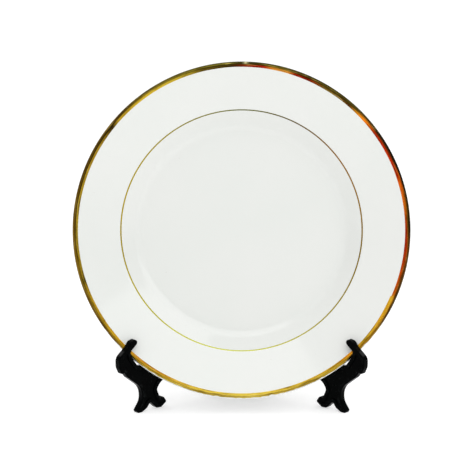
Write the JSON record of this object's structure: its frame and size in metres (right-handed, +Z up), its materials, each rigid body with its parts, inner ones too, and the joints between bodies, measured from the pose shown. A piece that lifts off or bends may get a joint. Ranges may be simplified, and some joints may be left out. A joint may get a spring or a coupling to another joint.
{
  "type": "dinner plate on folding stand",
  "caption": "Round wide-rimmed porcelain dinner plate with a gold rim and a gold verge line, held upright by a folding two-leaf moulded stand with hooked feet.",
  "frame": {"origin": "centre of the bounding box's base, on the surface that the stand's feet rest on", "axes": "+Z up, +X to the right of someone who faces the plate, the plate's face looks towards -Y and leans back 15 degrees"},
  "size_m": [0.254, 0.0844, 0.2584],
  "materials": {
    "porcelain": "clear-glazed cool white hard porcelain, foot ring bare",
    "gold": "burnished bright gold fired on the glaze",
    "black_plastic": "glossy black injection moulding",
    "pin_steel": "plain bright steel wire"
  },
  "bodies": {
    "hinge": {"lower_hinge_pin": "pin_steel", "upper_hinge_pin": "pin_steel"},
    "left_half": {"left_stand_half": "black_plastic"},
    "right_half": {"right_stand_half": "black_plastic"},
    "plate": {"plate_body": "porcelain", "rim_gold_band": "gold", "verge_gold_line": "gold"}
  },
  "joints": [
    {"name": "plate_lift", "type": "slide", "parent": "hinge", "child": "plate", "axis": [0, 0, 1], "range_m": [0, 0.12]},
    {"name": "left_fold", "type": "hinge", "parent": "hinge", "child": "left_half", "pos_m": [0, 0.03585, 0], "axis": [0, 0, 1], "range_deg": [0, 49]},
    {"name": "right_fold", "type": "hinge", "parent": "hinge", "child": "right_half", "pos_m": [0, 0.03585, 0], "axis": [0, 0, 1], "range_deg": [-49, 0]}
  ],
  "couplings": [
    {"joint": "left_fold", "follows": "plate_lift", "rad_per_m": 7},
    {"joint": "right_fold", "follows": "plate_lift", "rad_per_m": -7}
  ]
}
